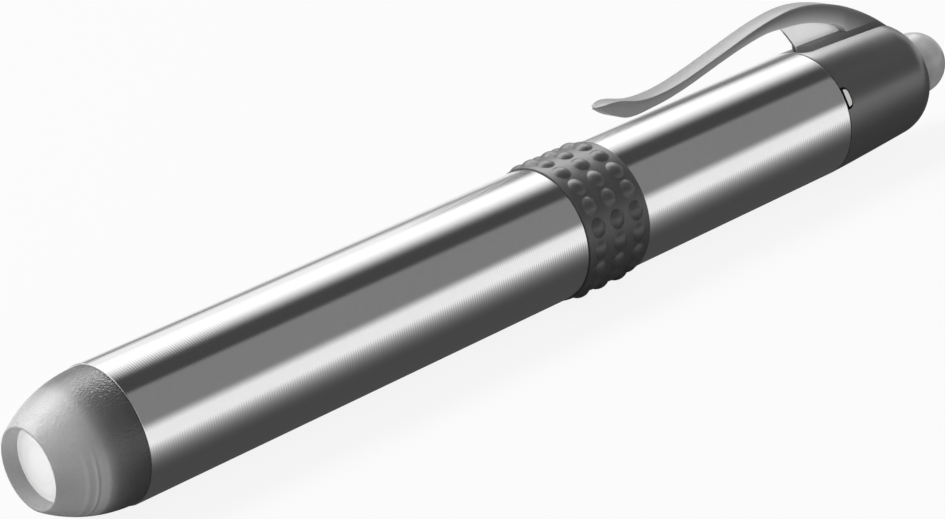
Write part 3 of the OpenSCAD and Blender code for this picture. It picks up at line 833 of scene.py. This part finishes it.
# Where along the clip its plastic starts to thicken and where it is all root
CLIP_THICK, CLIP_ROOTED = (0.86, 0), (0.94, 0)
# Radius that the rail's lower side lies at, sunk into the cap, and where its slope ends
RAIL_FLOOR, RAIL_RUN_OUT = 6.0 * MM, 0.1 * MM
# How much wider the rail is than the blade
RAIL_WIDER = 0.04 * MM
# A face that looks forward by more than this belongs to the web's front edge, which gets painted
# shade
LOOKS_FORWARD = -0.8


def clip_point(s, spot):
    """A point of the clip from its shares."""
    tip = s.cap_end - CLIP_ROOT - s.clip_l
    return (tip + s.clip_l * spot[0], s.tube_r + s.clip_rise * spot[1])


def clip_curve(s, spots):
    """A smooth line through points of the clip."""
    return [tuple(p) for p in curve_through([clip_point(s, q) for q in spots])]


class PEN_OT_clip_arm(bpy.types.Operator):
    """Pocket clip: the blade, and the rail that it grows from"""
    bl_idname = "pen.clip_arm"
    bl_label = "Clip arm"

    def execute(self, context):
        s, c = pen_settings(context)
        top, under = clip_curve(s, CLIP_TOP), clip_curve(s, CLIP_UNDER)
        blade = slab("clip_arm", top + under[::-1], s.clip_w)
        tip = clip_point(s, (0, 0))[0]
        section(blade, tip, tip + s.clip_l, 72)
        round_in_plan(blade, tip, s.clip_tip_l)
        bevel(blade, s.clip_edge)
        mark_depth(blade, top, under)
        smooth(blade, 40)
        frosted = finish("clip", c.clip, spread=0.08, scale=1200.0,
                         patches=240.0, bump=0.004 * MM, IOR=1.5)
        tree = frosted.node_tree
        depth = node(tree, "ShaderNodeAttribute", attribute_name="depth").outputs["Fac"]
        root = along(tree, clip_point(s, CLIP_THICK)[0], clip_point(s, CLIP_ROOTED)[0])
        hump = along(tree, clip_point(s, CLIP_FLAT)[0], clip_point(s, CLIP_HUMP)[0])
        # Painted light and shade on the blade, by height between its under line and its top
        side = mix_tone(tree, hump, tone_ramp(tree, depth, CLIP_FRONT_PAINTED_LIGHT),
                        tone_ramp(tree, depth, CLIP_PAINTED_LIGHT))
        into_grain(frosted, mix_tone(tree, root, side, c.clip_root))
        settle(blade, "tail", "smoke_plastic", frosted, "tail_cap")

        front = s.cap_x + OVER
        line = [(x, cap_line(s, x) + s.rail_h)
                for x in spaced(front, front + s.rail_l, 8)]
        end = line[-1][0] + s.rail_slope
        rail = slab("clip_rail", [(front, RAIL_FLOOR)] + line
                    + [(end, RAIL_FLOOR + RAIL_RUN_OUT), (end, RAIL_FLOOR)],
                    s.clip_w + RAIL_WIDER)
        section(rail, front, front + s.rail_round_l, 10)
        round_in_plan(rail, front, s.rail_round_l, 0.3)
        bevel(rail, 0.12 * MM)
        smooth(rail, 40)
        # Painted light: the rail is painted paler than the cap, palest at its front
        rail_painted_light = finish("rail", c.rail, spread=0.06, gloss=0.6, patches=200.0, IOR=1.5,
                      Specular_IOR_Level=0.2)
        back = along(rail_painted_light.node_tree, front, front + s.rail_l)
        into_grain(rail_painted_light, mix_tone(rail_painted_light.node_tree, back, c.rail, c.rail_back))
        settle(rail, "tail", "smoke_plastic", rail_painted_light, "tail_cap")
        # The photograph shows no dark streak of theirs in the tube's bright band
        for piece in (blade, rail):
            hide_from(piece, "glossy")
        return {"FINISHED"}


class PEN_OT_clip_web(bpy.types.Operator):
    """Thin pale plate between the clip and the cap"""
    bl_idname = "pen.clip_web"
    bl_label = "Clip web"

    def execute(self, context):
        s, c = pen_settings(context)
        foot = (s.cap_x + OVER, s.tube_r)
        web = slab("clip_web", clip_curve(s, WEB_FRONT) + [foot]
                   + [clip_point(s, q) for q in WEB_BACK][::-1], s.web_t)
        bevel(web, 0.06 * MM, 2)
        smooth(web, 40)
        # Painted shade: faces that look forward are marked and painted dark
        edge = web.data.attributes.new("edge", "FLOAT", "FACE")
        for face in web.data.polygons:
            edge.data[face.index].value = 1.0 if face.normal.x < LOOKS_FORWARD else 0.0
        pale = finish("web", c.web, spread=0.05, gloss=0.35, scale=1800.0,
                      patches=300.0, IOR=1.3, Transmission_Weight=0.5)
        tree = pale.node_tree
        front = node(tree, "ShaderNodeAttribute", attribute_name="edge").outputs["Fac"]
        into_grain(pale, mix_tone(tree, front, c.web, c.web_edge))
        settle(web, "tail", "smoke_plastic", pale, "tail_cap")
        hide_from(web, "glossy")
        return {"FINISHED"}


# The button's inside: where its hollow ends, and the socket for the plunger's stem
HOLLOW_X, SOCKET_X, SOCKET_R = 112.9 * MM, 113.9 * MM, 1.325 * MM


class PEN_OT_button_dome(bpy.types.Operator):
    """Domed push button, hollow for its spring"""
    bl_idname = "pen.button_dome"
    bl_label = "Button dome"

    def execute(self, context):
        s, c = pen_settings(context)
        centre = BUTTON_HIGH.x - s.button_r
        dome = [(centre + s.button_r * math.sin(a), s.button_r * math.cos(a))
                for a in spaced(0, math.pi / 2, 20)[:-1]] + [(BUTTON_HIGH.x, 0)]
        back = BUTTON_LOW.x + s.flange_t
        piece = lathe("button_dome", [
            (SOCKET_X, 0), (SOCKET_X, SOCKET_R), (HOLLOW_X, SOCKET_R),
            (HOLLOW_X, s.button_bore, 0.2 * MM), (BUTTON_LOW.x, s.button_bore, 0.1 * MM),
            (BUTTON_LOW.x, s.flange_r, 0.12 * MM), (back, s.flange_r, 0.12 * MM),
            (back, s.button_r, 0.15 * MM)] + dome, closed=False)
        smoky = finish("button", c.button, spread=0.7, gloss=0.28, scale=420.0,
                       patches=200.0, IOR=1.5, Transmission_Weight=0.12)
        settle(piece, "button", "button_plastic", smoky, "tail_button")
        return {"FINISHED"}


class PEN_OT_inner_finishes(bpy.types.Operator):
    """Finishes of the pieces inside, which keep their own shapes"""
    bl_idname = "pen.inner_finishes"
    bl_label = "Inner finishes"

    def execute(self, context):
        c = context.scene.pen_colours
        metal, clear = {"Metallic": 1.0}, {"Transmission_Weight": 0.6, "IOR": 1.5}
        coarse = {"scale": 2200.0}
        # Name, tone, spread, gloss, gloss spread, patches, bump in mm, more, and nodes
        rows = (
            ("brass", c.brass, 0.12, 0.28, 0.15, 500, 0, metal,
             "positive_contact ground_clip spring_plate contact_bridge"),
            ("nickel", c.nickel, 0.08, 0.25, 0.12, 500, 0, metal, "led_legs ground_strip"),
            ("spring", (0.55, 0.55, 0.57), 0.12, 0.3, 0.12, 900, 0, metal,
             "battery_spring button_spring"),
            ("black_plastic", (0.03, 0.03, 0.032), 0.2, 0.5, 0, 300, 0.004, {},
             "board_holder lock_ring"),
            ("white_plastic", (0.68, 0.68, 0.66), 0.06, 0.42, 0, 260, 0.004, {},
             "switch_housing switch_plunger"),
            ("seal_rubber", (0.02, 0.02, 0.02), 0.3, 0.6, 0, 600, 0.006, {}, "nose_seal"),
            ("mirror", c.mirror, 0.02, 0.05, 0.04, 200, 0, metal, "reflector"),
            ("lamp_epoxy", (0.9, 0.89, 0.82), 0.05, 0.12, 0.05, 120, 0, clear, "led_lamp"),
            ("board", (0.02, 0.12, 0.06), 0.25, 0.35, 0, 700, 0.004, {}, "led_board"),
            ("chip", (0.02, 0.02, 0.022), 0.2, 0.45, 0, 120, 0, {}, "board_resistor"),
            ("liner_card", c.card, 0.12, 0.75, 0, 300, 0.012, coarse, "cell_liner"),
            ("front_cell", c.jacket, 0.15, 0.3, 0.1, 90, 0, {}, "front_cell"),
            ("rear_cell", c.jacket, 0.15, 0.3, 0.1, 90, 0, {}, "rear_cell"))
        for label, tone, spread, gloss, gloss_spread, patches, bump, more, names in rows:
            material = finish(label, tone, spread, gloss, gloss_spread, patches=patches,
                              bump=bump * MM, **more)
            for name in names.split():
                for slot in frame["nodes"][name].material_slots:
                    slot.material = material
            if label.endswith("_cell"):
                self.bare_ends(material, c.nickel, *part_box(label))
        return {"FINISHED"}

    def bare_ends(self, material, nickel, low, high):
        """Leaves bare nickel at both ends of a cell's sleeve."""
        front, back, soft = low.x + 1.2 * MM, high.x - 0.3 * MM, 0.05 * MM
        tree = material.node_tree
        shader = tree.nodes["Principled BSDF"].inputs
        sleeve = math_node(tree, "SUBTRACT", along(tree, front, front + soft),
                           along(tree, back, back + soft), clamp=True)
        feed(tree, shader["Base Color"],
             mix_tone(tree, sleeve, nickel, grain_of(material).outputs["Color"]))
        feed(tree, shader["Metallic"], math_node(tree, "SUBTRACT", 1.0, sleeve))


# Stage

# Strips round the pen that only its reflections see: from and to in degrees from
# straight up, plus towards the far side, then the level, the two soft edges in degrees,
# the distance in metres and, for the last one, a start of its own along the pen. The last
# one is a painted reflection: a dark strip that stands in for the clip's reflection, the
# dark streak on the tube under the clip.
STRIPS = (
    ("key_card", 2, 52, 1.25, 4, 4, 0.3),
    ("dark_flag", -27, 31, 0.06, 6, 32, 0.27),
    ("grey_card", -91, 2, 0.23, 18, 18, 0.31),
    ("thin_flag", 68, 92, 0.3, 6, 12, 0.3),
    ("clip_flag", 53, 76, 0.2, 8, 6, 0.2, 0.21),
)
# Where the strips start and end along the pen, in metres
CARD_START, CARD_END = -1.2, 1.0
# Lamps that light plastic and rubber alone: turn and width in degrees, level
PLASTIC_LAMPS = (("key_lamp", 33, 26, 5.8), ("side_lamp", -90, 6, 2.2))
PLASTICS = ("nose_shell", "front_lens", "grip_sleeve", "cap_shell", "clip_arm",
            "clip_web", "button_dome")
# Their distance from the pen, their place along it and their length
LAMP_R, LAMP_X, LAMP_L = 0.24, 0.03, 0.66
# Small lamps that light one piece alone: place, side and power
SPOTS = (("lens_lamp", "front_lens", (-0.3, -0.05, 0.05), 0.2, 0.9),
         ("web_lamp", "clip_web", (0.1, -0.25, 0.02), 0.1, 0.38),
         ("strip_lamp", "ground_strip", (0.28, -0.18, 0.08), 0.1, 0.018))
TOP_LAMP, TOP_SIDES = Vector((-0.05, 0.22, 0.5)), (0.5, 0.2)
# What the floor is centred on and the top lamp is aimed at
MIDDLE = Vector((0.05, 0, 0))
# The photograph's viewpoint, fitted to the pen's outlines: place, and turns in degrees
CAMERA_PLACE = (-0.159875, -0.250394, 0.113812)
CAMERA_TURNS = (70.5228, 8.8787, -42.5818)


class StageSettings(bpy.types.PropertyGroup):
    """Light and floor."""
    floor_side: number("Side of the pale floor", 4.0, 20, unit="LENGTH")
    room_level: number("Light that the room gives soft surfaces", 0.35, 2)
    top_level: number("Soft light from above", 1.6, 20, unit="POWER")
    lens: number("Focal length of the camera", 131.71, 300, 20, unit="CAMERA")
    shadow: number("How much of the floor's own shading the camera sees", 0.12, 1)


def seen(tree):
    """1 for camera, glossy and transmission rays, else 0."""
    path = node(tree, "ShaderNodeLightPath").outputs
    first = math_node(tree, "MAXIMUM", path["Is Camera Ray"], path["Is Glossy Ray"])
    return math_node(tree, "MAXIMUM", first, path["Is Transmission Ray"])


def glow_finish(name, level, base, colour, mask):
    """Emission at one level, with another shader where the mask is 0."""
    material = bpy.data.materials.new(name + "_finish")
    material.use_nodes = True
    tree = material.node_tree
    tree.nodes.remove(tree.nodes["Principled BSDF"])
    under = node(tree, base, {"Color": colour})
    glow = node(tree, "ShaderNodeEmission", {"Strength": level})
    blend = node(tree, "ShaderNodeMixShader", {"Fac": mask(tree), 1: under.outputs[0],
                                               2: glow.outputs[0]})
    feed(tree, tree.nodes["Material Output"].inputs["Surface"], blend.outputs[0])
    return material


def collect(name, pieces):
    """A collection of the pieces that a lamp lights."""
    made = bpy.data.collections.new(name)
    for piece in pieces:
        made.objects.link(piece)
    return made


def facing(away):
    """The turn of a lamp that shines back along a vector."""
    return away.to_track_quat("Z", "Y").to_euler()


def area_lamp(name, where, turned, sides, power, unseen, lit=None):
    """A rectangular lamp; with a collection it lights that alone."""
    pick()
    bpy.ops.object.light_add(type="AREA", location=where)
    lamp = bpy.context.object
    lamp.name = name
    lamp.rotation_euler = turned
    lamp.data.shape = "RECTANGLE"
    lamp.data.size, lamp.data.size_y = sides
    lamp.data.energy = power
    hide_from(lamp, *unseen)
    if lit:
        lamp.light_linking.receiver_collection = lit


class PEN_OT_stage(bpy.types.Operator):
    """Pale floor, soft lights, reflected strips and the camera"""
    bl_idname = "pen.stage"
    bl_label = "Stage"

    def execute(self, context):
        t = context.scene.pen_stage
        self.world(context, t)
        self.floor(t)
        for strip in STRIPS:
            self.strip(*strip)
        self.floor_card()
        area_lamp("top_light", TOP_LAMP, facing(TOP_LAMP - MIDDLE), TOP_SIDES,
                  t.top_level, ("camera", "glossy", "transmission"))
        made = bpy.data.objects
        plastics = collect("plastic_pieces", [made[name] for name in PLASTICS])
        for name, turned, width, level in PLASTIC_LAMPS:
            a = math.radians(turned)
            sides = (LAMP_L, LAMP_R * math.radians(width))
            area_lamp(name, (LAMP_X, LAMP_R * math.sin(a), LAMP_R * math.cos(a)),
                      (-a, 0, 0), sides, level * math.pi * sides[0] * sides[1],
                      ("camera", "diffuse", "transmission"), plastics)
        for name, piece, where, side, power in SPOTS:
            lit = frame["nodes"][piece] if piece in frame["nodes"] else made[piece]
            middle = sum((Vector(corner) for corner in lit.bound_box), Vector()) / 8
            area_lamp(name, where, facing(Vector(where) - middle), (side, side), power,
                      ("camera",), collect(name + "_piece", [lit]))
        self.camera(context, t)
        context.scene.view_settings.view_transform = "Standard"
        return {"FINISHED"}

    def world(self, context, t):
        """White for the camera and for gloss, and dimmer for soft surfaces."""
        world = bpy.data.worlds.new("pale_room")
        context.scene.world = world
        world.use_nodes = True
        tree = world.node_tree
        back = tree.nodes["Background"].inputs
        back["Color"].default_value = (1, 1, 1, 1)
        feed(tree, back["Strength"], fade(tree, seen(tree), 0.0, 1.0, "LINEAR",
                                          (t.room_level, 1.0)))

    def floor(self, t):
        """Plain floor that keeps a part of its shading for the camera."""
        pick()
        bpy.ops.mesh.primitive_plane_add(size=t.floor_side,
                                         location=(MIDDLE.x, 0, CAD_BOX[0].z))
        floor = bpy.context.object
        floor.name = "floor"
        bpy.ops.object.transform_apply(location=True, rotation=True, scale=True)

        def mask(tree):
            return math_node(tree, "MULTIPLY", seen(tree), 1 - t.shadow)

        floor.data.materials.append(glow_finish(
            "floor", 1.0, "ShaderNodeBsdfDiffuse", (0.95, 0.95, 0.95, 1), mask))

    def card(self, name, points, level, mask):
        """A sheet along the pen that glossy rays alone see."""
        card = trace(name, points)
        draw_out((CARD_END - points[0].x, 0, 0))
        mode("OBJECT")
        card.data.materials.append(glow_finish(
            name, level, "ShaderNodeBsdfTransparent", (1, 1, 1, 1), mask))
        hide_from(card, "camera", "diffuse", "transmission", "volume_scatter", "shadow")

    def strip(self, name, start, end, level, soft_start, soft_end, away,
              begin=CARD_START):
        """A card bent round the pen, with soft edges."""
        def mask(tree):
            place = axes(tree)
            angle = math_node(tree, "ARCTAN2", place["Y"], place["Z"])
            return math_node(tree, "MULTIPLY", *(
                fade(tree, angle, math.radians(low), math.radians(high))
                for low, high in ((start, start + soft_start), (end, end - soft_end))))

        angles = spaced(math.radians(start), math.radians(end), 12)
        self.card(name, [Vector((begin, away * math.sin(a), away * math.cos(a)))
                         for a in angles], level, mask)

    def floor_card(self):
        """Painted shadow: a dark strip under the pen, seen only in reflections, that stands for
        the floor's shade there and fades out to the sides.
        """
        half, full, gone, level = 45 * MM, 8 * MM, 35 * MM, 0.07
        z = CAD_BOX[0].z + 0.02 * MM

        def mask(tree):
            off = math_node(tree, "ABSOLUTE", axes(tree)["Y"])
            return fade(tree, off, full, gone, to=(1.0, 0.0))

        self.card("floor_card", [Vector((CARD_START, y, z)) for y in (-half, half)],
                  level, mask)

    def camera(self, context, t):
        """The photograph's viewpoint."""
        pick()
        bpy.ops.object.camera_add(location=CAMERA_PLACE,
                                  rotation=[math.radians(a) for a in CAMERA_TURNS])
        camera = bpy.context.object
        camera.name = "photo_camera"
        camera.data.lens = t.lens
        camera.data.sensor_width = 36
        camera.data.sensor_fit = "HORIZONTAL"
        camera.data.clip_start, camera.data.clip_end = 0.01, 20
        context.scene.camera = camera


OPERATORS = (PEN_OT_nose_shell, PEN_OT_front_lens, PEN_OT_tube_shell, PEN_OT_grip_sleeve,
             PEN_OT_cap_shell, PEN_OT_clip_arm, PEN_OT_clip_web, PEN_OT_button_dome,
             PEN_OT_inner_finishes, PEN_OT_stage)


class PEN_PT_pieces(bpy.types.Panel):
    """Buttons for the pieces, and their sizes and colours"""
    bl_label = "Penlight"
    bl_idname = "PEN_PT_pieces"
    bl_space_type = "VIEW_3D"
    bl_region_type = "UI"
    bl_category = "Penlight"

    def draw(self, context):
        for operator in OPERATORS:
            self.layout.operator(operator.bl_idname)
        for group in (context.scene.pen_sizes, context.scene.pen_colours,
                      context.scene.pen_stage):
            box = self.layout.box()
            for key in group.__annotations__:
                box.prop(group, key)


GROUPS = (PenSizes, PenColours, StageSettings)


def register():
    for group in GROUPS:
        label_all(group)
    for item in (*GROUPS, *OPERATORS, PEN_PT_pieces):
        bpy.utils.register_class(item)
    bpy.types.Scene.pen_sizes = PointerProperty(type=PenSizes)
    bpy.types.Scene.pen_colours = PointerProperty(type=PenColours)
    bpy.types.Scene.pen_stage = PointerProperty(type=StageSettings)


def unregister():
    del bpy.types.Scene.pen_stage, bpy.types.Scene.pen_colours, bpy.types.Scene.pen_sizes
    for item in reversed((*GROUPS, *OPERATORS, PEN_PT_pieces)):
        bpy.utils.unregister_class(item)


def main():
    register()
    for operator in OPERATORS:
        group, name = operator.bl_idname.split(".")
        getattr(getattr(bpy.ops, group), name)()


if __name__ == "__main__":
    main()
